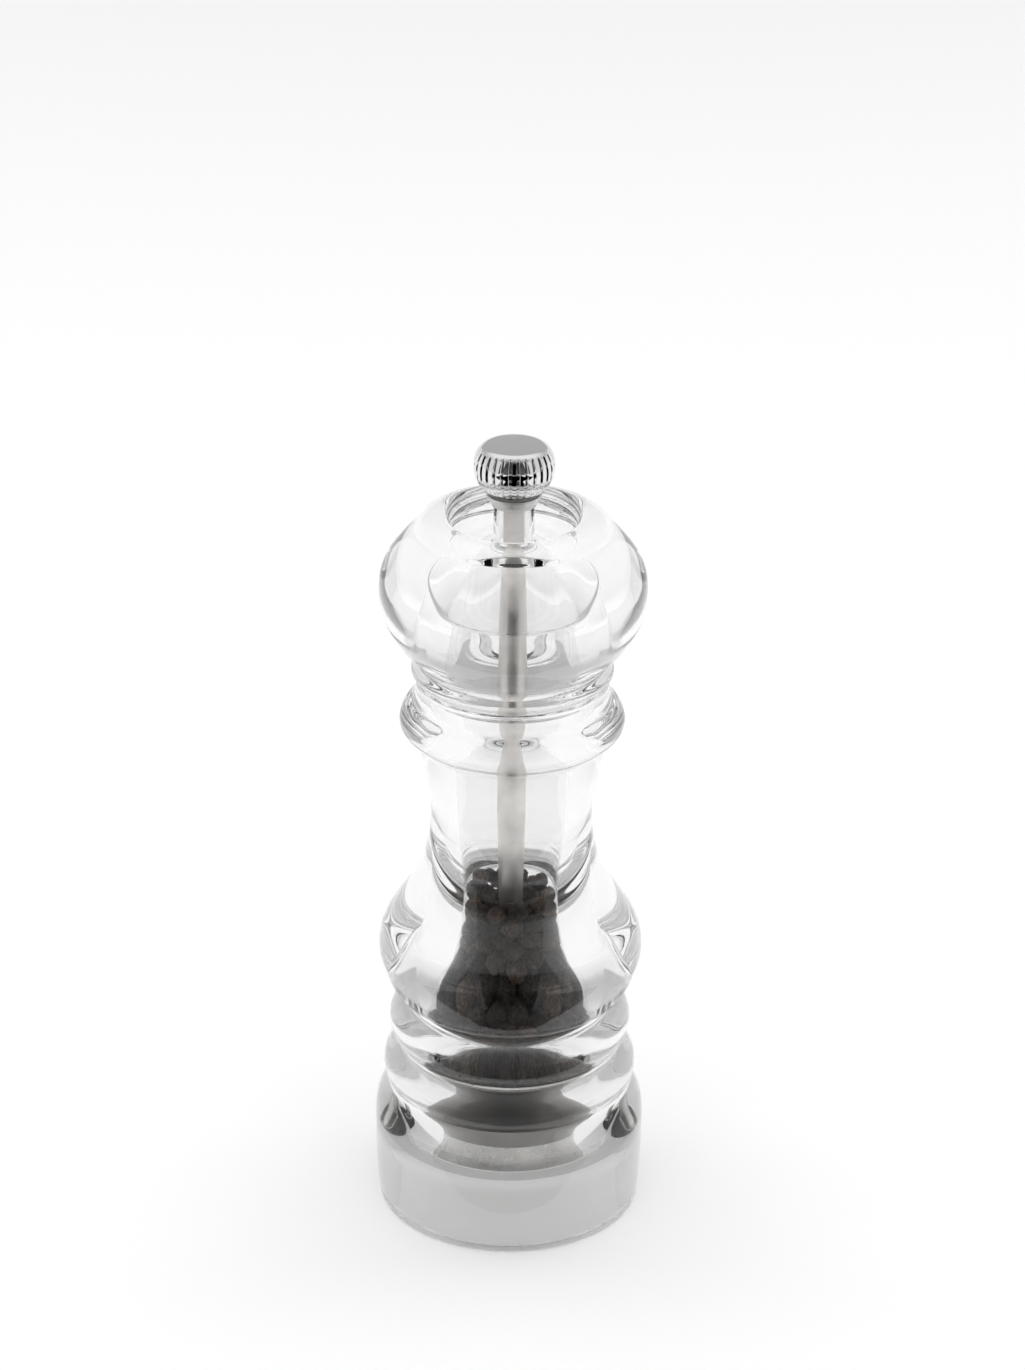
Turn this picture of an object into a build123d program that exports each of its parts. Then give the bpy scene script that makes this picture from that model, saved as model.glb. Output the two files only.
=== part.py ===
from build123d import *
import math
import os

# Pepper mill, all sizes in millimetres. The base stands on z = 0 and the mill's axis is +Z.
# The front faces -Y.

# Clear body: outside
BODY_TOP = 126.3
FOOT_RADIUS = 28.9
RIM_EASE = 0.4
BASE_SIDE = [(FOOT_RADIUS, 0.5), (29.3, 4.0), (29.7, 12.0), (29.8, 20.0)]
BEADS = [(29.8, 20.0), (29.15, 24.6), (27.55, 28.0), (27.1, 29.3), (27.7, 31.7), (27.8, 33.7),
         (27.0, 36.0), (25.4, 37.9), (24.7, 39.0), (25.2, 40.5), (26.3, 42.5), (26.5, 44.3),
         (26.35, 45.6), (25.6, 47.3), (24.2, 48.8), (23.1, 49.7), (22.9, 50.4), (23.8, 51.3),
         (25.35, 52.5)]
BELLY = [(27.35, 56.3), (28.8, 62.3), (27.6, 68.0), (23.8, 74.0), (19.6, 82.0), (17.55, 92.0),
         (18.2, 102.0), (20.7, 112.2)]
CAP = [(20.7, 112.2), (22.9, 114.2), (24.2, 116.8), (23.7, 118.9), (22.5, 120.8), (21.2, 122.2),
       (20.85, 123.4), (20.7, BODY_TOP - RIM_EASE)]

# Clear body: inside
RECESS_RADIUS = 23.3
RECESS_MOUTH_RADIUS = 23.6
LEDGE_HEIGHT = 16.0
SEAT_RADIUS = 17.4
SEAT_TOP = 37.0
CHAMBER = [(17.0, SEAT_TOP), (17.0, 51.0), (16.2, 54.5), (14.5, 58.0), (13.4, 62.0),
           (12.3, 68.5), (11.5, 77.0), (11.3, 90.0)]
NECK_RADIUS = 11.3
MOUTH_RADIUS = 16.0
MOUTH_FLOOR = 123.6
SCREW_CIRCLE = 19.8
PILOT_RADIUS = 1.15
PILOT_DEPTH = 8.0

# Clear head
HEAD_BOTTOM = 126.65
HEAD_NECK_RADIUS = 20.9
HEAD_FOOT = [(HEAD_NECK_RADIUS, HEAD_BOTTOM + 0.6), (21.6, 128.4), (21.5, 129.6), (20.8, 130.4),
             (20.4, 131.0), (20.8, 131.9)]
HEAD_SIDE = [(20.8, 131.9), (22.4, 133.3), (25.2, 136.9), (27.55, 141.0), (28.5, 147.0),
             (27.75, 152.0), (25.4, 156.0), (22.6, 159.2), (20.9, 160.8)]
LIP = [(20.9, 160.8), (20.5, 161.9), (19.3, 163.1), (17.3, 163.85), (15.3, 163.95),
       (14.1, 163.5), (13.7, 162.6)]
DISH_FLOOR = 157.6
DISH = [(13.7, 162.6), (13.0, 160.4), (11.3, 158.5), (8.2, DISH_FLOOR)]
COLUMN_RADIUS = 4.3
COLUMN_TOP = 166.3
COLUMN_BORE = 3.1
CAVITY_RADIUS = 13.05
CAVITY_STEP = 144.0
CAVITY_CEILING = 155.0
CAVITY_DOME = [(12.75, 144.1), (11.0, 147.4), (9.6, 150.1), (8.5, 152.8), (7.7, CAVITY_CEILING)]
TENON_RADIUS = 14.8
TENON_BOTTOM = 123.9

GLIDE_FLANGE = 18.4

# Shaft and what rides on it
SHAFT_RADIUS = 2.9
SHAFT_BOTTOM = 13.2
SHAFT_SHOULDER = 152.6
SHAFT_SQUARE = 4.1
SQUARE_TOP = 166.1
THREAD_RADIUS = 2.0
THREAD_TOP = 176.2
THREAD_PITCH = 0.8
RUNNING_GAP = 0.06
CLIP_BOTTOM = 18.6
CLIP_THICKNESS = 0.8
CLIP_GROOVE_RADIUS = 2.4
PIN_RADIUS = 0.8
PIN_HEIGHT = 23.2

# Grinding mechanism
MECHANISM_RADIUS = 17.3
STATOR_BOTTOM = 20.0
STATOR_TOP = 35.0
STATOR_SIDE = [(12.6, STATOR_BOTTOM), (11.7, 27.0), (15.2, STATOR_TOP)]
STATOR_CUP = [(MECHANISM_RADIUS, 25.8), (13.7, 27.2), (16.0, 32.6), (MECHANISM_RADIUS, 33.4)]
ROTOR_TOP = 33.0
ROTOR_SIDE = [(12.1, 20.6), (11.2, 27.0), (6.4, 32.4)]
FINE_TEETH = 36
FINE_LEAN = 16.0
COARSE_TEETH = 9
COARSE_LEAN = 24.0
HOPPER_TEETH = 12
HOPPER_LEAN = 14.0
BRIDGE_BAND = 2.0
BRIDGE_HUB_RADIUS = 6.6
BRIDGE_HUB = (39.9, 42.9)
BUSH_RADIUS = 4.4
SPRING_RADIUS = 4.1
SPRING_WIRE = 0.45
SPRING_COILS = 4
SPRING_ENDS = (33.9, 39.85)
WASHER_THICKNESS = 0.8
SLING_WIDTH = 8.0
SLING_LENGTH = 43.0
SLING_THICKNESS = 1.4
SCREW_RADIUS = 1.25
SCREW_HEAD_RADIUS = 2.2
SCREW_LENGTH = 7.2

# Knob
COLLAR_RADII = (4.7, 5.9)
KNOB_BOTTOM = 169.5
KNOB_TOP = 180.0
KNOB_RADIUS = 8.6
KNOB_BELLY = 175.1
KNOB_SIDE_RADIUS = 6.8
KNOB_EDGE_RADIUS = 2.5
KNOB_EDGE_ANGLES = (30.0, 84.8)
FLUTES = 30
FLUTE_RADIUS = 0.34
INSERT_RADIUS = 4.2
INSERT_TOP = 177.2

# Pepper
FILL_BOTTOM = 44.0
FILL_TOP = 82.0
FILL_HOLLOW = 6.0
FILL_GAP = 0.5


def turned(*edges):
    """Spin a closed outline, drawn as (radius, height), about the vertical axis."""
    outline = Curve() + list(edges)
    return revolve(make_face(Plane.XZ * outline), Axis.Z)


def ring(outer, inner, low, high):
    """A flat-ended ring between two heights."""
    outside = Cylinder(outer, high - low)
    inside = Cylinder(inner, 2 * (high - low))
    return Pos(0, 0, (low + high) / 2) * (outside - inside)


def rod(radius, low, high):
    """A round bar between two heights."""
    return Pos(0, 0, (low + high) / 2) * Cylinder(radius, high - low)


def on_arc(centre, radius, angle):
    """A point on a circle in the outline's plane."""
    turn = math.radians(angle)
    return (centre[0] + radius * math.cos(turn), centre[1] + radius * math.sin(turn))


def arc(centre, radius, start, end):
    """An arc in the outline's plane, given by its centre and two angles."""
    points = [on_arc(centre, radius, angle) for angle in (start, (start + end) / 2, end)]
    return ThreePointArc(*points)


def clear_body():
    """One thick moulding: base with a bell recess, two beads, belly, neck and mouth."""
    cap = Spline(*CAP)
    outside = [
        Line((RECESS_MOUTH_RADIUS, 0), (FOOT_RADIUS - 0.5, 0)),
        ThreePointArc((FOOT_RADIUS - 0.5, 0), (FOOT_RADIUS - 0.15, 0.15), BASE_SIDE[0]),
        Spline(*BASE_SIDE),
        Spline(*BEADS, *BELLY),
        cap,
        Line(cap @ 1, (CAP[-1][0] - RIM_EASE, BODY_TOP)),
        Line((CAP[-1][0] - RIM_EASE, BODY_TOP), (MOUTH_RADIUS, BODY_TOP)),
    ]
    chamber = Spline(*CHAMBER)
    shelf = Spline((SEAT_RADIUS + 4.2, LEDGE_HEIGHT), (22.8, 14.6), (RECESS_RADIUS, 12.0),
                   (RECESS_MOUTH_RADIUS, 0))
    inside = [
        Line((MOUTH_RADIUS, BODY_TOP), (MOUTH_RADIUS, MOUTH_FLOOR)),
        Line((MOUTH_RADIUS, MOUTH_FLOOR), (NECK_RADIUS, MOUTH_FLOOR)),
        Line((NECK_RADIUS, MOUTH_FLOOR), chamber @ 1),
        chamber,
        Line(chamber @ 0, (SEAT_RADIUS, SEAT_TOP)),
        Line((SEAT_RADIUS, SEAT_TOP), (SEAT_RADIUS, LEDGE_HEIGHT)),
        Line((SEAT_RADIUS, LEDGE_HEIGHT), shelf @ 0),
        shelf,
    ]
    body = turned(*outside, *inside)
    pilot = rod(PILOT_RADIUS, LEDGE_HEIGHT - 1, LEDGE_HEIGHT + PILOT_DEPTH)
    for side in (-1, 1):
        body -= Pos(side * SCREW_CIRCLE, 0, 0) * pilot
    return body


def clear_head():
    """A hollow dome with a ring at its foot, a tenon below, and a dish with a column on top."""
    dish = Spline(*DISH)
    dome = Spline(*CAVITY_DOME)
    return turned(
        Line((TENON_RADIUS, HEAD_BOTTOM), (HEAD_NECK_RADIUS - 0.5, HEAD_BOTTOM)),
        Line((HEAD_NECK_RADIUS - 0.5, HEAD_BOTTOM), HEAD_FOOT[0]),
        Spline(*HEAD_FOOT),
        Spline(*HEAD_SIDE),
        Spline(*LIP),
        dish,
        Line(dish @ 1, (COLUMN_RADIUS, DISH_FLOOR)),
        Line((COLUMN_RADIUS, DISH_FLOOR), (COLUMN_RADIUS, COLUMN_TOP)),
        Line((COLUMN_RADIUS, COLUMN_TOP), (COLUMN_BORE, COLUMN_TOP)),
        Line((COLUMN_BORE, COLUMN_TOP), (COLUMN_BORE, CAVITY_CEILING)),
        Line((COLUMN_BORE, CAVITY_CEILING), dome @ 1),
        dome,
        Line(dome @ 0, (CAVITY_RADIUS, CAVITY_STEP)),
        Line((CAVITY_RADIUS, CAVITY_STEP), (CAVITY_RADIUS, TENON_BOTTOM)),
        Line((CAVITY_RADIUS, TENON_BOTTOM), (TENON_RADIUS, TENON_BOTTOM)),
        Line((TENON_RADIUS, TENON_BOTTOM), (TENON_RADIUS, HEAD_BOTTOM)),
    )


def drive_insert():
    """The square-holed disc under the head's column that turns the shaft."""
    disc = ring(5.4, 1.0, CAVITY_CEILING - 2.0, CAVITY_CEILING)
    hole = Pos(0, 0, CAVITY_CEILING) * Box(SHAFT_SQUARE + 0.2, SHAFT_SQUARE + 0.2, 8)
    return disc - hole


def glide_ring():
    """The slip ring on the head's tenon: a sleeve in the mouth with a flange over the rim."""
    inner = TENON_RADIUS + 0.1
    sleeve = ring(MOUTH_RADIUS - 0.1, inner, MOUTH_FLOOR + 0.2, BODY_TOP + 0.02)
    return sleeve + ring(GLIDE_FLANGE, inner, BODY_TOP + 0.02, HEAD_BOTTOM - 0.03)


def shaft():
    """Round bar with a squared upper end, a threaded tip and a groove for the clip."""
    bar = rod(SHAFT_RADIUS, SHAFT_BOTTOM, SHAFT_SHOULDER)
    bar = chamfer(bar.edges().group_by(Axis.Z)[0], 0.5)
    bar = chamfer(bar.edges().group_by(Axis.Z)[-1], 0.4)
    height = SQUARE_TOP - SHAFT_SHOULDER
    bar += Pos(0, 0, SHAFT_SHOULDER + height / 2) * Box(SHAFT_SQUARE, SHAFT_SQUARE, height)
    tip = rod(THREAD_RADIUS, SQUARE_TOP, THREAD_TOP)
    tip = chamfer(tip.edges().group_by(Axis.Z)[-1], 0.4)
    step = SQUARE_TOP + THREAD_PITCH
    while step < THREAD_TOP - THREAD_PITCH:
        tip -= ring(THREAD_RADIUS + 1, THREAD_RADIUS - 0.3, step, step + THREAD_PITCH / 2)
        step += THREAD_PITCH
    bar += tip
    bar -= ring(SHAFT_RADIUS + 1, CLIP_GROOVE_RADIUS, CLIP_BOTTOM, CLIP_BOTTOM + CLIP_THICKNESS)
    return bar - Pos(0, 0, PIN_HEIGHT) * Rot(0, 90, 0) * Cylinder(PIN_RADIUS, 20)


def notches(count, foot, tilt, lean, depth, half_width, length, outwards=False):
    """Leaning V-shaped cutters laid along a cone, starting from its foot."""
    tip = depth if outwards else -depth
    notch = Polygon((tip, 0), (-tip, -2 * half_width), (-tip, 2 * half_width), align=None)
    cutter = Pos(foot[0], 0, foot[1]) * Rot(0, tilt, 0) * Rot(lean, 0, 0)
    cutter *= extrude(notch, length, dir=(0, 0, 1))
    return [Rot(0, 0, 360 / count * i) * cutter for i in range(count)]


def slope(low, high):
    """Lean of a cone's side from the vertical, in degrees, positive where it opens upwards."""
    return math.degrees(math.atan2(high[0] - low[0], high[1] - low[1]))


def rotor():
    """The turning cone: fine teeth on its skirt, coarse ones on its nose."""
    foot, waist, nose = ROTOR_SIDE
    bore = SHAFT_RADIUS + 0.02
    cone = turned(
        Polyline((bore, foot[1]), foot, waist, nose, (nose[0] - 0.6, ROTOR_TOP),
                 (bore, ROTOR_TOP), (bore, foot[1])))
    cone -= notches(FINE_TEETH, (foot[0], foot[1] - 1), slope(foot, waist), FINE_LEAN, 0.6, 0.5, 7.2)
    cone -= notches(COARSE_TEETH, (waist[0] + 0.4, waist[1] - 0.6), slope(waist, nose),
                    COARSE_LEAN, 1.9, 1.7, 12.0)
    return cone - Pos(0, 0, PIN_HEIGHT) * Rot(0, 90, 0) * Cylinder(PIN_RADIUS, 40)


def stator():
    """The fixed toothed cup: a hopper cone above, a grinding band below, a waist outside."""
    foot, throat, mouth = STATOR_SIDE
    cup = turned(
        Polyline(foot, (MECHANISM_RADIUS, foot[1]), *STATOR_CUP, (MECHANISM_RADIUS, mouth[1]),
                 mouth, throat, foot))
    cup -= notches(FINE_TEETH, (foot[0], foot[1] - 1), slope(foot, throat), -FINE_LEAN, 0.6, 0.5,
                   8.0, outwards=True)
    return cup - notches(HOPPER_TEETH, (throat[0] - 0.4, throat[1] - 0.5), slope(throat, mouth),
                         -HOPPER_LEAN, 1.1, 1.4, 13.0, outwards=True)


def top_bridge():
    """Three arched arms that hold the upper bush over the stator."""
    band = ring(MECHANISM_RADIUS, MECHANISM_RADIUS - BRIDGE_BAND, STATOR_TOP, SEAT_TOP)
    hub = ring(BRIDGE_HUB_RADIUS, BUSH_RADIUS, *BRIDGE_HUB)
    low, high = BRIDGE_HUB
    side = Polygon((BRIDGE_HUB_RADIUS - 0.4, high - 0.3), (BRIDGE_HUB_RADIUS - 0.4, low + 0.3),
                   (MECHANISM_RADIUS - 1.9, STATOR_TOP), (MECHANISM_RADIUS - 0.9, STATOR_TOP),
                   (MECHANISM_RADIUS - 0.9, SEAT_TOP - 0.2), (MECHANISM_RADIUS - 2.2, SEAT_TOP),
                   align=None)
    arm = extrude(Plane.XZ * side, 1.2, both=True)
    return band + hub + [Rot(0, 0, 30 + 120 * i) * arm for i in range(3)]


def spring():
    """Open coil between the thrust washer and the upper bridge."""
    low, high = SPRING_ENDS
    rise = high - low - 2 * SPRING_WIRE
    path = Helix(rise / SPRING_COILS, rise, SPRING_RADIUS, center=(0, 0, low + SPRING_WIRE))
    return sweep(Plane(origin=path @ 0, z_dir=path % 0) * Circle(SPRING_WIRE), path)


def clip():
    """Open retaining clip in the shaft's groove."""
    plate = ring(5.0, CLIP_GROOVE_RADIUS, CLIP_BOTTOM + 0.05, CLIP_BOTTOM + CLIP_THICKNESS - 0.05)
    return plate - Pos(5, 0, CLIP_BOTTOM) * Box(8, 3.0, 4)


def clamp_ring():
    """The spacer that presses the stator up into its seat."""
    plain = ring(MECHANISM_RADIUS, 14.2, LEDGE_HEIGHT, STATOR_BOTTOM)
    return chamfer(plain.edges().group_by(Axis.Z)[0].sort_by(SortBy.LENGTH)[0], 1.2)


def lower_bridge():
    """The bar under the mechanism, with round ends and three holes."""
    plate = extrude(SlotOverall(SLING_LENGTH, SLING_WIDTH), SLING_THICKNESS)
    boss = extrude(Circle(7.0), SLING_THICKNESS)
    bar = Pos(0, 0, LEDGE_HEIGHT - SLING_THICKNESS) * (plate + boss)
    bar -= rod(BUSH_RADIUS, 0, 20)
    for side in (-1, 1):
        bar -= Pos(side * SCREW_CIRCLE, 0, 0) * rod(SCREW_RADIUS + 0.15, 0, 20)
    return bar


def bush(flange_low, low, high):
    """A brass bush with a flange."""
    bore = SHAFT_RADIUS + RUNNING_GAP
    sleeve = ring(BUSH_RADIUS - 0.01, bore, low, high)
    return sleeve + ring(BUSH_RADIUS + 0.9, bore, flange_low, flange_low + 0.8)


def screws(part):
    """Two pan-head screws, or the washers under their heads."""
    seat = LEDGE_HEIGHT - SLING_THICKNESS
    if part == "washer":
        single = ring(SCREW_HEAD_RADIUS + 0.35, SCREW_RADIUS + 0.1, seat - 0.4, seat)
    else:
        head = rod(SCREW_HEAD_RADIUS, seat - 1.9, seat - 0.4)
        head = fillet(head.edges().group_by(Axis.Z)[0], 0.7)
        head -= Pos(0, 0, seat - 1.9) * (Box(2.6, 0.6, 1.4) + Box(0.6, 2.6, 1.4))
        single = head + rod(PILOT_RADIUS - 0.02, seat - 0.4, seat + SCREW_LENGTH)
    return Compound(children=[Pos(side * SCREW_CIRCLE, 0, 0) * single for side in (-1, 1)])


def knob_collar():
    """The plain tapered ferrule under the knob."""
    low, high = COLLAR_RADII
    top = KNOB_BOTTOM - 0.55
    return turned(
        Polyline((2.5, COLUMN_TOP + 0.05), (low, COLUMN_TOP + 0.05), (low + 0.1, COLUMN_TOP + 0.7),
                 (high, top - 0.5), (high, top), (2.5, top), (2.5, COLUMN_TOP + 0.05)))


def knob_shell():
    """The fluted barrel with a plain domed top."""
    centre = (KNOB_RADIUS - KNOB_SIDE_RADIUS, KNOB_BELLY)
    start, end = KNOB_EDGE_ANGLES
    side = arc(centre, KNOB_SIDE_RADIUS, -48, start)
    shoulder = on_arc(centre, KNOB_SIDE_RADIUS - KNOB_EDGE_RADIUS, start)
    edge = arc(shoulder, KNOB_EDGE_RADIUS, start, end)
    crown = Spline(edge @ 1, (0, KNOB_TOP), tangents=[edge % 1, (-1, 0)])
    shell = turned(
        Line((INSERT_RADIUS, KNOB_BOTTOM), (side @ 0)),
        side,
        edge,
        crown,
        Line((0, KNOB_TOP), (0, INSERT_TOP)),
        Line((0, INSERT_TOP), (INSERT_RADIUS, INSERT_TOP)),
        Line((INSERT_RADIUS, INSERT_TOP), (INSERT_RADIUS, KNOB_BOTTOM)),
    )
    pivot = Axis((centre[0], 0, centre[1]), (0, -1, 0))
    wire = Plane.XY * Pos(KNOB_RADIUS, 0, KNOB_BELLY) * Circle(FLUTE_RADIUS)
    tool = revolve(wire, pivot, 86).rotate(pivot, -60)
    return shell - [Rot(0, 0, 360 / FLUTES * i) * tool for i in range(FLUTES)]


def knob_insert():
    """The threaded brass core of the knob."""
    return ring(INSERT_RADIUS - 0.01, THREAD_RADIUS + 0.1, KNOB_BOTTOM, INSERT_TOP - 0.02)


def friction_washer():
    """The thin washer between knob and ferrule."""
    return ring(5.4, 2.4, KNOB_BOTTOM - 0.5, KNOB_BOTTOM - 0.05)


def pepper():
    """The fill of corns as one closed shape with room for the shaft."""
    inner = SHAFT_RADIUS + FILL_GAP
    low = FILL_TOP - FILL_HOLLOW
    points = [(r - FILL_GAP, z) for r, z in CHAMBER if FILL_BOTTOM < z < FILL_TOP]
    foot = (CHAMBER[0][0] - FILL_GAP, FILL_BOTTOM)
    wall = Spline(foot, *points, (CHAMBER[-1][0] - FILL_GAP, FILL_TOP))
    return turned(
        Line((inner, FILL_BOTTOM), wall @ 0),
        wall,
        Spline(wall @ 1, (8.0, FILL_TOP - 1.2), (inner, low)),
        Line((inner, low), (inner, FILL_BOTTOM)),
    )


PIECES = {
    "clear_body": clear_body(),
    "stator": stator(),
    "top_bridge": top_bridge(),
    "upper_bush": bush(BRIDGE_HUB[1], BRIDGE_HUB[0] + 0.1, BRIDGE_HUB[1] + 0.01),
    "clamp_ring": clamp_ring(),
    "lower_bridge": lower_bridge(),
    "lower_bush": bush(LEDGE_HEIGHT, LEDGE_HEIGHT - SLING_THICKNESS - 0.4, LEDGE_HEIGHT + 0.01),
    "bridge_screws": screws("screw"),
    "screw_washers": screws("washer"),
    "peppercorns": pepper(),
    "spring": spring(),
    "thrust_washer": ring(5.2, SHAFT_RADIUS + 0.1, ROTOR_TOP + 0.04, ROTOR_TOP + WASHER_THICKNESS),
    "shaft": shaft(),
    "rotor": rotor(),
    "rotor_pin": Pos(0, 0, PIN_HEIGHT) * Rot(0, 90, 0) * Cylinder(PIN_RADIUS - 0.01, 15),
    "shaft_clip": clip(),
    "glide_ring": glide_ring(),
    "clear_head": clear_head(),
    "drive_insert": drive_insert(),
    "knob_collar": knob_collar(),
    "friction_washer": friction_washer(),
    "knob_shell": knob_shell(),
    "knob_insert": knob_insert(),
}

os.makedirs("parts", exist_ok=True)
for node, shape in PIECES.items():
    export_step(shape, f"parts/{node}.step")
    print(node, len(shape.solids()), round(shape.volume, 1), shape.is_valid)
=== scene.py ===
"""Looks for the clear pepper mill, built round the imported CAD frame. Lengths are in millimetres
until a mesh is made, and the front faces -Y."""

import math
import random

import bmesh
import bpy
import numpy as np
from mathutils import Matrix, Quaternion, Vector, noise


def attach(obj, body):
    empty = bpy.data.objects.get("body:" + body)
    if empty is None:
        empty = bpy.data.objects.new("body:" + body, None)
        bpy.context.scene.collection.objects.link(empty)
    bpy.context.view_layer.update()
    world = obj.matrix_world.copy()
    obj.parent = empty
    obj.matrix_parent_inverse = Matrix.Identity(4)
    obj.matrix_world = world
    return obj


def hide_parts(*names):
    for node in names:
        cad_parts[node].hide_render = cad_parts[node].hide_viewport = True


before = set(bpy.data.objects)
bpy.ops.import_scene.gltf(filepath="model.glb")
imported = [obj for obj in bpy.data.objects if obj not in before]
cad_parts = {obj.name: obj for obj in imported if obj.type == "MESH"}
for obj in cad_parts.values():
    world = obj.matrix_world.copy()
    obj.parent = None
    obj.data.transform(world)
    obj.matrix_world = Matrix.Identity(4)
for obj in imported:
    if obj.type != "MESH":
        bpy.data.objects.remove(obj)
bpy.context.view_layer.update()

MM = 0.001
CLEAR_ROUND = 256
SHARP_ANGLE = 30.0

# Camera
CAMERA_BACK = 826.8
CAMERA_UP = 514.5
CAMERA_TILT = 25.26
CAMERA_ROLL = 0.49
SENSOR = 36.0
LENS = 112.4

# Clear body
BODY_TOP = 126.3
FOOT_RADIUS = 28.9
RIM_EASE = 0.4
BASE_SIDE = [(FOOT_RADIUS, 0.5), (29.3, 4.0), (29.7, 12.0), (29.8, 20.0)]
BEADS = [(29.8, 20.0), (29.15, 24.6), (27.55, 28.0), (27.1, 29.3), (27.7, 31.7), (27.8, 33.7),
         (27.0, 36.0), (25.4, 37.9), (24.7, 39.0), (25.2, 40.5), (26.3, 42.5), (26.5, 44.3),
         (26.35, 45.6), (25.6, 47.3), (24.2, 48.8), (23.1, 49.7), (22.9, 50.4), (23.8, 51.3),
         (25.35, 52.5)]
BELLY = [(27.35, 56.3), (28.8, 62.3), (27.6, 68.0), (23.8, 74.0), (19.6, 82.0), (17.55, 92.0),
         (18.2, 102.0), (20.7, 112.2)]
CAP = [(20.7, 112.2), (22.9, 114.2), (24.2, 116.8), (23.7, 118.9), (22.5, 120.8), (21.2, 122.2),
       (20.85, 123.4), (20.7, BODY_TOP - RIM_EASE)]
RECESS_RADIUS = 23.3
RECESS_MOUTH_RADIUS = 23.6
LEDGE_HEIGHT = 16.0
SEAT_RADIUS = 17.4
SEAT_TOP = 37.0
CHAMBER = [(17.0, SEAT_TOP), (17.0, 51.0), (16.2, 54.5), (14.5, 58.0), (13.4, 62.0),
           (12.3, 68.5), (11.5, 77.0), (11.3, 90.0)]
NECK_RADIUS = 11.3
MOUTH_RADIUS = 16.0
MOUTH_FLOOR = 123.6

# Clear head
HEAD_BOTTOM = 126.65
HEAD_NECK_RADIUS = 20.9
HEAD_FOOT = [(HEAD_NECK_RADIUS, HEAD_BOTTOM + 0.6), (21.6, 128.4), (21.5, 129.6), (20.8, 130.4),
             (20.4, 131.0), (20.8, 131.9)]
HEAD_SIDE = [(20.8, 131.9), (22.4, 133.3), (25.2, 136.9), (27.55, 141.0), (28.5, 147.0),
             (27.75, 152.0), (25.4, 156.0), (22.6, 159.2), (20.9, 160.8)]
LIP = [(20.9, 160.8), (20.5, 161.9), (19.3, 163.1), (17.3, 163.85), (15.3, 163.95),
       (14.1, 163.5), (13.7, 162.6)]
DISH = [(13.7, 162.6), (13.0, 160.4), (11.3, 158.5), (8.2, 157.6)]
COLUMN_RADIUS = 4.3
COLUMN_TOP = 166.3
COLUMN_BORE = 3.1
CAVITY_RADIUS = 13.05
CAVITY_STEP = 144.0
CAVITY_DOME = [(12.75, 144.1), (11.0, 147.4), (9.6, 150.1), (8.5, 152.8), (7.7, 155.0)]
CAVITY_CEILING = 155.0
TENON_RADIUS = 14.8
TENON_BOTTOM = 123.9

# Shaft and knob
SHAFT_RADIUS = 2.9
SHAFT_BOTTOM = 13.2
CLIP_GROOVE = (18.6, 19.4)
CLIP_GROOVE_RADIUS = 2.4
SHAFT_SHOULDER = 152.6
SHAFT_SQUARE = 4.1
SQUARE_BEVEL = 0.3
SQUARE_TOP = 166.1
THREAD_RADIUS = 2.0
THREAD_ROOT = 1.7
THREAD_TOP = 176.2
THREAD_PITCH = 0.8
KNOB_BOTTOM = 169.5
KNOB_TOP = 180.0
KNOB_RADIUS = 8.6
KNOB_BELLY = 175.1
KNOB_SIDE_RADIUS = 6.8
KNOB_EDGE_RADIUS = 2.5
FLUTES = 30
FLUTE_TOP = 179.2
FLUTE_DEPTH = 0.38

# Pepper: the heap settles on the mill's two cones, round the shaft and the bridge's hub. A cone is
# the radius where it meets the cone floor, and its slope; a drop is how far a corn sinks in a step
CORN_COUNT = 468
CORN_KINDS = 12
CORN_RADII = (2.0, 2.6)
CORN_OVERLAP = 0.96
HEAP_BOTTOM = 34.0
HEAP_TOP = 112.0
HUB_TOP = 46.0
HUB_CLEARANCE = 6.9
CONE_FLOOR = 27.0
STATOR_CONE = (11.7, 2.2)
ROTOR_CONE = (11.2, 1.1)
DROPS = (0.22, 0.04)
QUICK_DROPS = 330
ALL_DROPS = 420
HEAP_SEED = 5
TURN_SEED = 11
NOISE_SEED = 3

# Studio: how bright the room in front of the mill is, as mirrored and as seen through it
FRONT_MIRRORED = 0.12
FRONT_SEEN = 0.6
SKY = [(0.0, 0.97), (0.22, 0.85), (0.45, 0.52), (0.9, 1.0)]
FLOOR_HALF = 3000
MIDDLE = (0, 0, 90)


# ---------------------------------------------------------------- outlines

def smooth(points, steps=8):
    """A smooth curve through the points, as a natural cubic spline over chord length."""
    p = np.array(points, float)
    gap = np.linalg.norm(np.diff(p, axis=0), axis=1)
    n = len(p)
    a = np.zeros((n, n))
    b = np.zeros((n, 2))
    a[0, 0] = a[-1, -1] = 1.0
    for i in range(1, n - 1):
        a[i, i - 1:i + 2] = gap[i - 1], 2 * (gap[i - 1] + gap[i]), gap[i]
        b[i] = 6 * ((p[i + 1] - p[i]) / gap[i] - (p[i] - p[i - 1]) / gap[i - 1])
    m = np.linalg.solve(a, b)
    out = []
    for i in range(n - 1):
        for t in np.arange(steps) / steps:
            s = 1 - t
            out.append(s * p[i] + t * p[i + 1]
                       + gap[i] ** 2 / 6 * ((s ** 3 - s) * m[i] + (t ** 3 - t) * m[i + 1]))
    out.append(p[-1])
    return [tuple(q) for q in out]


def arc(centre, radius, start, end, steps):
    """Points on an arc, given by its centre and two angles in degrees."""
    angles = np.radians(np.linspace(start, end, steps + 1))
    return [(centre[0] + radius * math.cos(a), centre[1] + radius * math.sin(a)) for a in angles]


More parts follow.
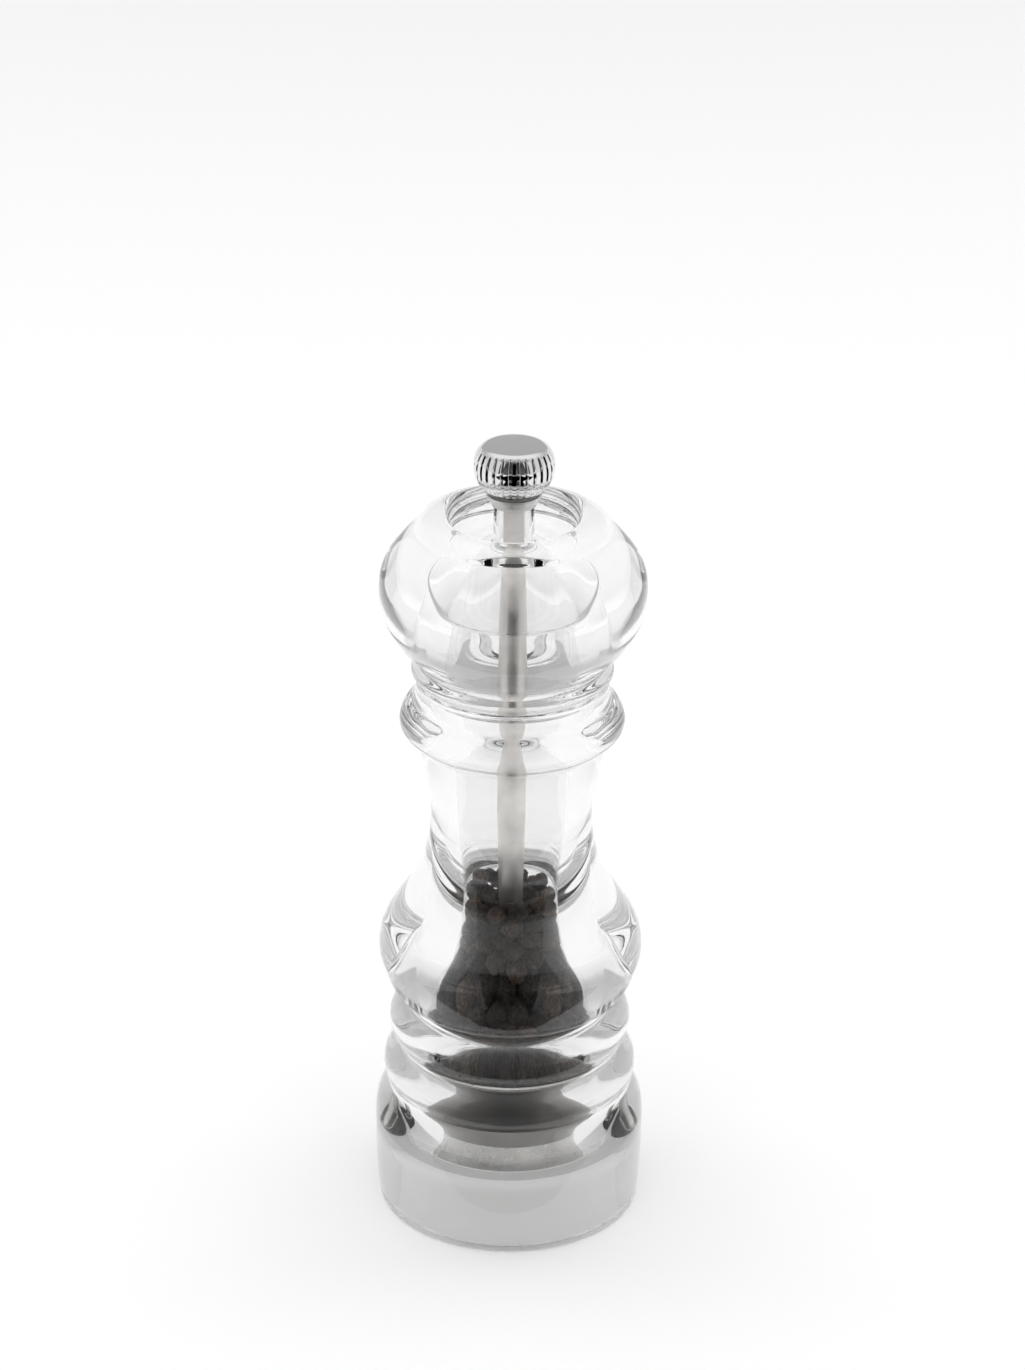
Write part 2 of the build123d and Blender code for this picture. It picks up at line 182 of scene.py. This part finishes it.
def through(a, b, c, steps=12):
    """Points on the arc from a through b to c."""
    (ax, ay), (bx, by), (cx, cy) = a, b, c
    d = 2 * (ax * (by - cy) + bx * (cy - ay) + cx * (ay - by))
    ux = ((ax * ax + ay * ay) * (by - cy) + (bx * bx + by * by) * (cy - ay)
          + (cx * cx + cy * cy) * (ay - by)) / d
    uy = ((ax * ax + ay * ay) * (cx - bx) + (bx * bx + by * by) * (ax - cx)
          + (cx * cx + cy * cy) * (bx - ax)) / d
    turn = [math.atan2(y - uy, x - ux) for x, y in (a, b, c)]
    first = (turn[1] - turn[0] + math.pi) % (2 * math.pi) - math.pi
    second = (turn[2] - turn[1] + math.pi) % (2 * math.pi) - math.pi
    degrees = math.degrees(turn[0])
    return arc((ux, uy), math.dist((ax, ay), (ux, uy)), degrees,
               degrees + math.degrees(first + second), steps)


def joined(*runs):
    """One closed outline from several runs of points."""
    out = []
    for run in runs:
        for point in run:
            if not out or math.dist(point, out[-1]) > 1e-3:
                out.append(point)
    if math.dist(out[0], out[-1]) < 1e-3:
        out.pop()
    return out


def eased(outline, back=0.25, sharp=25.0):
    """The closed outline with its sharp corners rounded."""
    p = [np.array(q, float) for q in outline]
    n = len(p)
    out = []
    for i in range(n):
        before, here, after = p[i - 1], p[i], p[(i + 1) % n]
        u = before - here
        v = after - here
        lu, lv = np.linalg.norm(u), np.linalg.norm(v)
        bend = 180 - math.degrees(math.acos(np.clip(u @ v / (lu * lv), -1, 1)))
        if bend < sharp:
            out.append(tuple(here))
            continue
        start = here + u / lu * min(back, 0.45 * lu)
        end = here + v / lv * min(back, 0.45 * lv)
        for t in np.linspace(0, 1, 5):
            out.append(tuple((1 - t) ** 2 * start + 2 * t * (1 - t) * here + t * t * end))
    return out


# ---------------------------------------------------------------- meshes

def new_object(name, data, *materials):
    made = bpy.data.objects.new(name, data)
    bpy.context.scene.collection.objects.link(made)
    for material in materials:
        data.materials.append(material)
    return made


def finish_mesh(mesh):
    """Outward faces, smooth shading, and sharp edges where the surface turns a corner."""
    bm = bmesh.new()
    bm.from_mesh(mesh)
    bmesh.ops.remove_doubles(bm, verts=bm.verts, dist=1e-7)
    bmesh.ops.recalc_face_normals(bm, faces=bm.faces)
    if bm.calc_volume(signed=True) < 0:
        bmesh.ops.reverse_faces(bm, faces=bm.faces)
    bm.to_mesh(mesh)
    bm.free()
    mesh.shade_smooth()
    mesh.set_sharp_from_angle(angle=math.radians(SHARP_ANGLE))


def lathe(name, outline, material, around, ripple=None):
    """Spin a closed outline about the axis. A ripple(angle, r, z) may change the radius."""
    verts = []
    rings = []
    for r, z in outline:
        if r < 1e-6:
            rings.append([len(verts)])
            verts.append((0.0, 0.0, z * MM))
            continue
        start = len(verts)
        rings.append(list(range(start, start + around)))
        for k in range(around):
            a = 2 * math.pi * k / around
            rr = r + (ripple(a, r, z) if ripple else 0.0)
            verts.append((rr * MM * math.cos(a), rr * MM * math.sin(a), z * MM))
    faces = []
    for a, b in zip(rings, rings[1:] + rings[:1]):
        if len(a) == 1 and len(b) == 1:
            continue
        for k in range(around):
            after = (k + 1) % around
            if len(a) == 1:
                faces.append((a[0], b[after], b[k]))
            elif len(b) == 1:
                faces.append((a[k], a[after], b[0]))
            else:
                faces.append((a[k], a[after], b[after], b[k]))
    mesh = bpy.data.meshes.new(name)
    mesh.from_pydata(verts, [], faces)
    finish_mesh(mesh)
    return new_object(name, mesh, material)


# ---------------------------------------------------------------- materials

def set_stops(ramp, stops):
    """Give a colour ramp its stops, each a place and a colour."""
    while len(ramp.elements) < len(stops):
        ramp.elements.new(0.5)
    for element, (place, colour) in zip(ramp.elements, stops):
        element.position = place
        element.color = (*colour, 1.0)


class Shader:
    """A material with a Principled shader and short names for what is wired to it."""

    def __init__(self, name):
        self.material = bpy.data.materials.new(name)
        self.material.use_nodes = True
        self.tree = self.material.node_tree
        self.main = self.tree.nodes["Principled BSDF"]
        self.place = self.tree.nodes.new("ShaderNodeTexCoord").outputs["Object"]

    def set(self, **values):
        for key, value in values.items():
            self.main.inputs[key.replace("_", " ")].default_value = value

    def node(self, kind, inputs=(), **settings):
        made = self.tree.nodes.new(kind)
        for key, value in settings.items():
            setattr(made, key, value)
        for key, value in dict(inputs).items():
            if isinstance(value, bpy.types.NodeSocket):
                self.tree.links.new(value, made.inputs[key])
            else:
                made.inputs[key].default_value = value
        return made

    def stretched(self, scale):
        return self.node("ShaderNodeMapping", {"Vector": self.place, "Scale": scale}).outputs[0]

    def noise(self, scale, detail=4.0, rough=0.55, place=None):
        return self.node("ShaderNodeTexNoise", {"Vector": place or self.place, "Scale": scale,
                                                "Detail": detail, "Roughness": rough}).outputs[0]

    def ramp(self, value, low, high, start, end):
        made = self.node("ShaderNodeMapRange", {"Value": value, "From Min": low, "From Max": high,
                                                "To Min": start, "To Max": end})
        return made.outputs[0]

    def colours(self, value, *stops):
        made = self.node("ShaderNodeValToRGB", {"Fac": value})
        set_stops(made.color_ramp, stops)
        return made.outputs[0]

    def math(self, operation, first, second, **settings):
        made = self.node("ShaderNodeMath", {0: first, 1: second}, operation=operation, **settings)
        return made.outputs[0]

    def wire(self, value, socket):
        self.tree.links.new(value, self.main.inputs[socket])

    def bump(self, height, strength, distance):
        made = self.node("ShaderNodeBump", {"Height": height, "Strength": strength,
                                            "Distance": distance})
        self.wire(made.outputs[0], "Normal")


def acrylic(name, dust=0.0, rough=0.0, clear=1.0, tint=(0.935, 0.937, 0.936)):
    """Clear moulded acrylic: faint flow waves and, on worn faces, a fine haze."""
    s = Shader(name)
    s.set(Base_Color=(*tint, 1), Transmission_Weight=clear, IOR=1.49)
    haze = s.noise(900.0, 3.0)
    s.wire(s.ramp(haze, 0.45, 0.75, rough, rough + dust), "Roughness")
    s.bump(s.noise(60.0, 2.0), 0.05, 0.0001)
    return s.material


def turned_steel(name, colour, rough, grain=(1, 1, 60), spread=0.12):
    """Machined steel with fine turning marks and a little dust in them."""
    s = Shader(name)
    s.set(Metallic=1.0)
    marks = s.noise(260.0, 5.0, 0.7, s.stretched(grain))
    cloud = s.noise(120.0, 3.0)
    s.wire(s.ramp(marks, 0.3, 0.7, rough - spread / 2, rough + spread), "Roughness")
    darker = tuple(c * 0.8 for c in colour)
    s.wire(s.colours(cloud, (0.35, darker), (0.65, colour)), "Base Color")
    s.bump(marks, 0.25, 0.00004)
    return s.material


def chrome():
    """Bright plating with faint wear."""
    s = Shader("bright_chrome")
    s.set(Metallic=1.0, Base_Color=(0.78, 0.78, 0.79, 1))
    s.wire(s.ramp(s.noise(700.0, 6.0, 0.7), 0.4, 0.8, 0.035, 0.14), "Roughness")
    s.bump(s.noise(300.0, 2.0), 0.04, 0.00003)
    return s.material


def brass():
    """Turned brass, darker along its tool marks."""
    s = Shader("turned_brass")
    s.set(Metallic=1.0)
    marks = s.noise(300.0, 4.0, 0.6, s.stretched((1, 1, 40)))
    s.wire(s.colours(marks, (0.3, (0.55, 0.38, 0.16)), (0.7, (0.8, 0.62, 0.32))), "Base Color")
    s.wire(s.ramp(marks, 0.3, 0.7, 0.22, 0.4), "Roughness")
    s.bump(marks, 0.2, 0.00004)
    return s.material


def nylon():
    """Natural nylon, cloudy and slightly waxy."""
    s = Shader("natural_nylon")
    s.set(Base_Color=(0.93, 0.93, 0.91, 1), Transmission_Weight=0.85, IOR=1.5)
    s.wire(s.ramp(s.noise(500.0), 0.3, 0.7, 0.3, 0.45), "Roughness")
    s.bump(s.noise(220.0, 3.0), 0.1, 0.00005)
    return s.material


def pepper():
    """Dried pepper skin: dark and wrinkled, with thin pale veins along the creases."""
    s = Shader("pepper_skin")
    tone = s.node("ShaderNodeAttribute", attribute_name="tone").outputs["Fac"]
    ridge = s.node("ShaderNodeAttribute", attribute_name="ridge").outputs["Fac"]
    dark = s.colours(tone, (0.0, (0.006, 0.0045, 0.004)), (0.6, (0.011, 0.008, 0.006)),
                     (1.0, (0.035, 0.020, 0.013)))
    pale = s.colours(tone, (0.0, (0.09, 0.065, 0.05)), (0.6, (0.24, 0.165, 0.12)),
                     (1.0, (0.42, 0.28, 0.19)))
    drift = s.math("ADD", s.noise(500.0, 3.0), 1.0)
    bent = s.node("ShaderNodeVectorMath", {0: s.place, 1: drift, 2: (0.0006, 0.0006, 0.0006)},
                  operation="MULTIPLY_ADD").outputs[0]
    creases = s.node("ShaderNodeTexVoronoi", {"Vector": bent, "Scale": 700.0},
                     feature="DISTANCE_TO_EDGE").outputs["Distance"]
    vein = s.ramp(creases, 0.0, 0.11, 0.95, 0.0)
    pale_lines = s.math("ADD", vein, s.math("MULTIPLY", ridge, 0.45))
    patchy = s.ramp(s.noise(260.0, 3.0), 0.35, 0.65, 0.25, 1.0)
    share = s.math("MULTIPLY", pale_lines, patchy, use_clamp=True)
    mix = s.node("ShaderNodeMix", {"Factor": share, 6: dark, 7: pale}, data_type="RGBA")
    s.wire(mix.outputs[2], "Base Color")
    s.wire(s.ramp(s.noise(800.0), 0.3, 0.7, 0.45, 0.7), "Roughness")
    s.bump(s.math("ADD", vein, s.noise(1500.0, 6.0, 0.7)), 0.9, 0.0004)
    return s.material


CLEAR = acrylic("clear_acrylic", dust=0.03)
HAZED = acrylic("hazed_acrylic", dust=0.1, rough=0.6, clear=0.55, tint=(0.98, 0.98, 0.98))
ROD_STEEL = turned_steel("rod_steel", (0.86, 0.83, 0.80), 0.33)
DARK_STEEL = turned_steel("hardened_steel", (0.27, 0.26, 0.25), 0.34)
PRESSED_STEEL = turned_steel("pressed_steel", (0.60, 0.59, 0.57), 0.26, grain=(1, 1, 1))
SATIN = turned_steel("satin_ferrule", (0.80, 0.80, 0.79), 0.38, grain=(1, 1, 30))
BLASTED = turned_steel("blasted_insert", (0.94, 0.935, 0.92), 0.62, grain=(1, 1, 4))
CHROME = chrome()
BRASS = brass()
NYLON = nylon()
CLEAR_NYLON = acrylic("clear_nylon", dust=0.1, rough=0.04)
PEPPER = pepper()


# ---------------------------------------------------------------- acrylic pieces

def clear_body():
    """The body, spun as one outline: up the outside, over the rim and down the chamber."""
    shelf = smooth([(SEAT_RADIUS + 4.2, LEDGE_HEIGHT), (22.8, 14.6), (RECESS_RADIUS, 12.0),
                    (RECESS_MOUTH_RADIUS, 0)])
    outline = joined(
        [(RECESS_MOUTH_RADIUS, 0), (FOOT_RADIUS - 0.5, 0)],
        through((FOOT_RADIUS - 0.5, 0), (FOOT_RADIUS - 0.15, 0.15), (FOOT_RADIUS, 0.5)),
        smooth(BASE_SIDE),
        smooth(BEADS + BELLY, 12),
        smooth(CAP, 8),
        [(CAP[-1][0] - RIM_EASE, BODY_TOP), (MOUTH_RADIUS, BODY_TOP), (MOUTH_RADIUS, MOUTH_FLOOR),
         (NECK_RADIUS, MOUTH_FLOOR)],
        smooth(CHAMBER, 10)[::-1],
        [(SEAT_RADIUS, SEAT_TOP), (SEAT_RADIUS, LEDGE_HEIGHT)],
        shelf,
    )
    made = lathe("clear_body_wall", eased(outline), CLEAR, CLEAR_ROUND)
    made.data.materials.append(HAZED)
    for face in made.data.polygons:
        r = math.hypot(face.center.x, face.center.y) / MM
        z = face.center.z / MM
        if 0.3 < z < LEDGE_HEIGHT + 0.2 and r < RECESS_MOUTH_RADIUS + 0.2:
            face.material_index = 1
    made.visible_shadow = False
    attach(made, "mill_body")
    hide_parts("clear_body")


def clear_head():
    """The head: foot, dome, lip, dish and column outside, and its cavity inside."""
    cavity = [(CAVITY_RADIUS, CAVITY_STEP)] + smooth(CAVITY_DOME, 10)
    outline = joined(
        [(TENON_RADIUS, HEAD_BOTTOM), (HEAD_NECK_RADIUS - 0.5, HEAD_BOTTOM)],
        smooth(HEAD_FOOT, 6),
        smooth(HEAD_SIDE, 10),
        smooth(LIP, 8),
        smooth(DISH, 8),
        [(COLUMN_RADIUS, DISH[-1][1]), (COLUMN_RADIUS, COLUMN_TOP), (COLUMN_BORE, COLUMN_TOP),
         (COLUMN_BORE, CAVITY_CEILING)],
        cavity[::-1],
        [(CAVITY_RADIUS, TENON_BOTTOM), (TENON_RADIUS, TENON_BOTTOM)],
    )
    made = lathe("clear_head_dome", eased(outline), CLEAR, CLEAR_ROUND)
    made.visible_shadow = False
    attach(made, "head")
    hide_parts("clear_head")


# ---------------------------------------------------------------- shaft and knob

def shaft():
    """The turned bar, with the groove for its clip."""
    groove_bottom, groove_top = CLIP_GROOVE
    outline = joined(
        [(0, SHAFT_BOTTOM), (SHAFT_RADIUS - 0.5, SHAFT_BOTTOM), (SHAFT_RADIUS, SHAFT_BOTTOM + 0.5),
         (SHAFT_RADIUS, groove_bottom), (CLIP_GROOVE_RADIUS, groove_bottom),
         (CLIP_GROOVE_RADIUS, groove_top), (SHAFT_RADIUS, groove_top),
         (SHAFT_RADIUS, SHAFT_SHOULDER - 0.4), (SHAFT_RADIUS - 0.4, SHAFT_SHOULDER),
         (0, SHAFT_SHOULDER)])
    made = lathe("shaft_bar", eased(outline, 0.1), ROD_STEEL, 96)
    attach(made, "spindle")
    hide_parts("shaft")


def shaft_square():
    """The squared end that the head turns."""
    bottom = SHAFT_SHOULDER - 0.2
    bm = bmesh.new()
    bmesh.ops.create_cube(bm, size=1.0)
    for v in bm.verts:
        v.co = (v.co.x * SHAFT_SQUARE * MM, v.co.y * SHAFT_SQUARE * MM,
                (bottom + (v.co.z + 0.5) * (SQUARE_TOP - bottom)) * MM)
    bmesh.ops.bevel(bm, geom=bm.edges[:], offset=SQUARE_BEVEL * MM, segments=3, affect="EDGES")
    mesh = bpy.data.meshes.new("shaft_square")
    bm.to_mesh(mesh)
    bm.free()
    finish_mesh(mesh)
    made = new_object("shaft_square", mesh, ROD_STEEL)
    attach(made, "spindle")


def shaft_thread():
    """One ridge wound round the tip, thin at both ends."""
    ridge = [(0.0, 0.0), (0.25, 0.0), (0.4, 1.0), (0.55, 1.0), (0.8, 0.0)]
    corners = len(ridge)
    around = 48
    rows = int((THREAD_TOP - SQUARE_TOP) / THREAD_PITCH) * around
    verts = []
    faces = []
    for i in range(rows + 1):
        a = 2 * math.pi * i / around
        z = SQUARE_TOP - 0.1 + THREAD_PITCH * i / around
        fade = min(1.0, i / around + 0.15, (rows - i) / around + 0.15)
        for rise, height in ridge:
            r = THREAD_ROOT + (THREAD_RADIUS - THREAD_ROOT) * height * fade
            verts.append((r * MM * math.cos(a), r * MM * math.sin(a), (z + rise) * MM))
    for i in range(rows):
        for j in range(corners):
            a = i * corners + j
            b = i * corners + (j + 1) % corners
            faces.append((a, a + corners, b + corners, b))
    faces.append(tuple(range(corners)))
    faces.append(tuple(rows * corners + j for j in reversed(range(corners))))
    mesh = bpy.data.meshes.new("shaft_thread")
    mesh.from_pydata(verts, [], faces)
    mesh.shade_smooth()
    made = new_object("shaft_thread", mesh, ROD_STEEL)
    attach(made, "spindle")


def shaft_core():
    """The thread's core, chamfered at the top."""
    outline = joined([(0, SQUARE_TOP - 0.4), (THREAD_ROOT - 0.02, SQUARE_TOP - 0.4),
                      (THREAD_ROOT + 0.02, THREAD_TOP - 0.4), (THREAD_ROOT - 0.3, THREAD_TOP),
                      (0, THREAD_TOP)])
    made = lathe("shaft_core", eased(outline, 0.1), ROD_STEEL, 64)
    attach(made, "spindle")


def knob():
    """The fluted barrel: convex ribs between narrow grooves, under a plain dome."""
    centre = (KNOB_RADIUS - KNOB_SIDE_RADIUS, KNOB_BELLY)
    side = arc(centre, KNOB_SIDE_RADIUS, -49.8, 30, 40)
    inward = (KNOB_SIDE_RADIUS - KNOB_EDGE_RADIUS) / KNOB_SIDE_RADIUS
    shoulder = tuple(c + (s - c) * inward for c, s in zip(centre, side[-1]))
    edge = arc(shoulder, KNOB_EDGE_RADIUS, 30, 84.8, 14)
    crown = smooth([edge[-1], (3.0, KNOB_TOP - 0.08), (0, KNOB_TOP)], 8)
    outline = joined([(4.2, KNOB_BOTTOM)], side, edge, crown, [(0, 177.2), (4.2, 177.2)])

    def flute(a, r, z):
        if r < 5.6 or z > FLUTE_TOP:
            return 0.0
        share = (a * FLUTES / (2 * math.pi)) % 1.0
        rib = abs(share - 0.5) * 2
        groove = max(0.0, (rib - 0.62) / 0.38)
        fade = min(1.0, max(0.0, (FLUTE_TOP - z) / 0.6))
        return -(FLUTE_DEPTH * math.sin(groove * math.pi / 2) ** 1.4 + 0.06 * rib * rib) * fade

    made = lathe("knob_barrel", eased(outline, 0.15), CHROME, FLUTES * 20, flute)
    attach(made, "knob")
    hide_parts("knob_shell")


# ---------------------------------------------------------------- pepper

def chamber_radius(z):
    heights = [p[1] for p in CHAMBER]
    radii = [p[0] for p in CHAMBER]
    return np.interp(z, heights, radii)


def corn_places():
    """Settle loose balls between the chamber's wall, the shaft, the bridge and the mill's cones."""
    rng = np.random.default_rng(HEAP_SEED)
    size = rng.uniform(*CORN_RADII, CORN_COUNT)
    angle = rng.uniform(0, 2 * math.pi, CORN_COUNT)
    reach = rng.uniform(6.5, 11.0, CORN_COUNT)
    place = np.stack([reach * np.cos(angle), reach * np.sin(angle),
                      np.linspace(HEAP_BOTTOM, HEAP_TOP, CORN_COUNT)], axis=1)
    for step in range(ALL_DROPS):
        place[:, 2] -= DROPS[0] if step < QUICK_DROPS else DROPS[1]
        for _ in range(2):
            gap = place[:, None] - place[None]
            dist = np.linalg.norm(gap, axis=2) + np.eye(CORN_COUNT) * 99
            lack = np.maximum(0, (size[:, None] + size[None]) * CORN_OVERLAP - dist)
            place += (gap / dist[..., None] * lack[..., None] * 0.32).sum(axis=1)
            reach = np.hypot(place[:, 0], place[:, 1]) + 1e-9
            wall = np.minimum(chamber_radius(place[:, 2]), chamber_radius(place[:, 2] + size * 0.7))
            kept = np.minimum(reach, wall - size * 1.08)
            inner = np.where(place[:, 2] < HUB_TOP, HUB_CLEARANCE, SHAFT_RADIUS + 0.1) + size
            kept = np.maximum(kept, inner)
            place[:, :2] *= (kept / reach)[:, None]
            low = np.maximum(CONE_FLOOR + (kept - STATOR_CONE[0]) * STATOR_CONE[1],
                             CONE_FLOOR + (ROTOR_CONE[0] - kept) * ROTOR_CONE[1]) + size * 1.2
            place[:, 2] = np.maximum(place[:, 2], low)
    return place, size


def corn_mesh(index):
    """One shrivelled corn of unit radius, with how far each point stands up as its ridge."""
    bm = bmesh.new()
    bmesh.ops.create_icosphere(bm, subdivisions=4, radius=1.0)
    offset = Vector((index * 7.3, index * 3.1, 1.7))
    points = []
    ridges = []
    for v in bm.verts:
        d = v.co.normalized()
        bent = d + 0.35 * noise.noise_vector(d * 2.2 + offset)
        near = noise.voronoi(bent * 2.7 + offset)[0]
        ridge = max(0.0, 1.0 - (near[1] - near[0]) * 4.5)
        soft = noise.noise(d * 1.1 + offset)
        fine = noise.noise(d * 6.0 + offset)
        points.append(d * (0.84 + 0.16 * ridge + 0.13 * soft + 0.04 * fine))
        ridges.append(ridge)
    faces = [[v.index for v in f.verts] for f in bm.faces]
    bm.free()
    return np.array(points), np.array(faces), np.array(ridges)


def peppercorns():
    """All the corns in one mesh, each turned and stretched its own way."""
    rnd = random.Random(TURN_SEED)
    noise.seed_set(NOISE_SEED)
    kinds = [corn_mesh(i) for i in range(CORN_KINDS)]
    places, sizes = corn_places()
    verts = []
    faces = []
    tones = []
    ridges = []
    start = 0
    for place, size in zip(places, sizes):
        points, tris, ridge = kinds[rnd.randrange(len(kinds))]
        axis = Vector((rnd.uniform(-1, 1), rnd.uniform(-1, 1), rnd.uniform(-1, 1))).normalized()
        turn = np.array(Quaternion(axis, rnd.uniform(0, 6.28)).to_matrix())
        stretch = np.array([rnd.uniform(0.93, 1.04) for _ in range(3)])
        verts.append(((points * stretch) @ turn.T * size + place) * MM)
        faces.append(tris + start)
        tones.append(np.full(len(points), rnd.random() ** 1.6))
        ridges.append(ridge)
        start += len(points)
    mesh = bpy.data.meshes.new("peppercorn_fill")
    mesh.from_pydata(np.concatenate(verts).tolist(), [], np.concatenate(faces).tolist())
    for name, values in (("tone", tones), ("ridge", ridges)):
        layer = mesh.attributes.new(name, "FLOAT", "POINT")
        layer.data.foreach_set("value", np.concatenate(values).astype(np.float32))
    mesh.shade_smooth()
    made = new_object("peppercorn_fill", mesh, PEPPER)
    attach(made, "mill_body")
    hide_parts("peppercorns")


# ---------------------------------------------------------------- studio

def card(name, place, size, target=None, strength=0.0):
    """A plain board, lying flat or facing a target: a soft light, or a dark flag at strength 0."""
    w, h = size[0] * MM / 2, size[1] * MM / 2
    mesh = bpy.data.meshes.new(name)
    mesh.from_pydata([(-w, -h, 0), (w, -h, 0), (w, h, 0), (-w, h, 0)], [], [(0, 1, 2, 3)])
    material = bpy.data.materials.new(name)
    material.use_nodes = True
    tree = material.node_tree
    tree.nodes.clear()
    glow = tree.nodes.new("ShaderNodeEmission")
    glow.inputs["Color"].default_value = (1, 1, 1, 1)
    glow.inputs["Strength"].default_value = strength
    out = tree.nodes.new("ShaderNodeOutputMaterial")
    tree.links.new(glow.outputs[0], out.inputs[0])
    made = new_object(name, mesh, material)
    made.location = Vector(place) * MM
    if target:
        aim = Vector(target) * MM - made.location
        made.rotation_mode = "QUATERNION"
        made.rotation_quaternion = aim.to_track_quat("-Z", "Y")
    made.visible_camera = False
    made.visible_shadow = False
    made.visible_diffuse = strength > 0
    return made


def room():
    """A pale room with a dimmer band above the horizon, and dimmer still behind the camera."""
    world = bpy.data.worlds.new("room")
    world.use_nodes = True
    tree = world.node_tree
    way = tree.nodes.new("ShaderNodeTexCoord").outputs["Generated"]
    split = tree.nodes.new("ShaderNodeSeparateXYZ")
    tree.links.new(way, split.inputs[0])
    height = tree.nodes.new("ShaderNodeValToRGB")
    height.color_ramp.interpolation = "EASE"
    set_stops(height.color_ramp, [(place, (level, level, level)) for place, level in SKY])
    tree.links.new(split.outputs["Z"], height.inputs[0])
    tree.links.new(height.outputs[0], tree.nodes["Background"].inputs["Color"])
    front = tree.nodes.new("ShaderNodeMapRange")
    for key, value in (("From Min", -0.7), ("From Max", 0.1), ("To Max", 1.0)):
        front.inputs[key].default_value = value
    dim = tree.nodes.new("ShaderNodeMath")
    dim.operation = "MULTIPLY_ADD"
    dim.inputs[1].default_value = FRONT_MIRRORED - FRONT_SEEN
    dim.inputs[2].default_value = FRONT_SEEN
    tree.links.new(tree.nodes.new("ShaderNodeLightPath").outputs["Is Glossy Ray"], dim.inputs[0])
    tree.links.new(dim.outputs[0], front.inputs["To Min"])
    tree.links.new(split.outputs["Y"], front.inputs["Value"])
    tree.links.new(front.outputs[0], tree.nodes["Background"].inputs["Strength"])
    bpy.context.scene.world = world


def paper_floor():
    half = FLOOR_HALF * MM
    mesh = bpy.data.meshes.new("floor")
    mesh.from_pydata([(-half, -half, 0), (half, -half, 0), (half, half, 0), (-half, half, 0)], [],
                     [(0, 1, 2, 3)])
    paper = Shader("floor_paper")
    paper.set(Base_Color=(0.93, 0.93, 0.93, 1), Roughness=0.9, Specular_IOR_Level=0.2)
    floor = new_object("floor", mesh, paper.material)
    floor.location.z = -0.1 * MM


def boards():
    """Softboxes to the sides and behind, and dark boards whose mirror images edge the acrylic."""
    card("softbox_left", (-1150, -500, 650), (1300, 1300), MIDDLE, 0.8)
    card("softbox_right", (1150, -500, 650), (1300, 1300), MIDDLE, 0.8)
    card("softbox_back", (0, 1300, 900), (1600, 900), MIDDLE, 0.5)
    table = card("dark_table", (0, -1330, 5), (1200, 2000))
    table.visible_transmission = False
    card("dark_flag", (0, -2300, 900), (900, 1800), MIDDLE)
    strip = card("dark_strip", (0, -195, 3), (300, 310))
    strip.visible_transmission = False


def ceiling_light():
    lamp = bpy.data.lights.new("ceiling_light", "SUN")
    lamp.energy = 1.5
    lamp.angle = math.radians(120)
    made = new_object("ceiling_light", lamp)
    made.visible_glossy = False
    made.visible_transmission = False


def camera():
    data = bpy.data.cameras.new("camera")
    data.sensor_width = SENSOR
    data.lens = LENS
    data.clip_start = 0.01
    data.clip_end = 20.0
    made = new_object("camera", data)
    tilt = math.radians(CAMERA_TILT)
    aim = Vector((0, math.cos(tilt), -math.sin(tilt)))
    made.location = Vector((0, -CAMERA_BACK, CAMERA_UP)) * MM
    made.rotation_mode = "QUATERNION"
    roll = Quaternion(aim, -math.radians(CAMERA_ROLL))
    made.rotation_quaternion = roll @ aim.to_track_quat("-Z", "Y")
    bpy.context.scene.camera = made


# ---------------------------------------------------------------- assembly

KEPT_LOOKS = {
    "stator": DARK_STEEL, "rotor": DARK_STEEL, "top_bridge": PRESSED_STEEL,
    "clamp_ring": PRESSED_STEEL, "lower_bridge": PRESSED_STEEL, "bridge_screws": PRESSED_STEEL,
    "screw_washers": PRESSED_STEEL, "spring": ROD_STEEL, "rotor_pin": ROD_STEEL,
    "shaft_clip": PRESSED_STEEL, "drive_insert": BLASTED, "upper_bush": BRASS,
    "lower_bush": BRASS, "thrust_washer": BRASS, "knob_insert": BRASS, "knob_collar": SATIN,
    "friction_washer": NYLON, "glide_ring": CLEAR_NYLON,
}
for node, look in KEPT_LOOKS.items():
    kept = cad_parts[node]
    kept.data.materials.clear()
    kept.data.materials.append(look)

clear_body()
clear_head()
shaft()
shaft_square()
shaft_thread()
shaft_core()
knob()
peppercorns()
room()
paper_floor()
boards()
ceiling_light()
camera()

scene = bpy.context.scene
scene.view_settings.view_transform = "Standard"
scene.cycles.max_bounces = 24
scene.cycles.transmission_bounces = 24
scene.cycles.glossy_bounces = 8
scene.cycles.transparent_max_bounces = 8
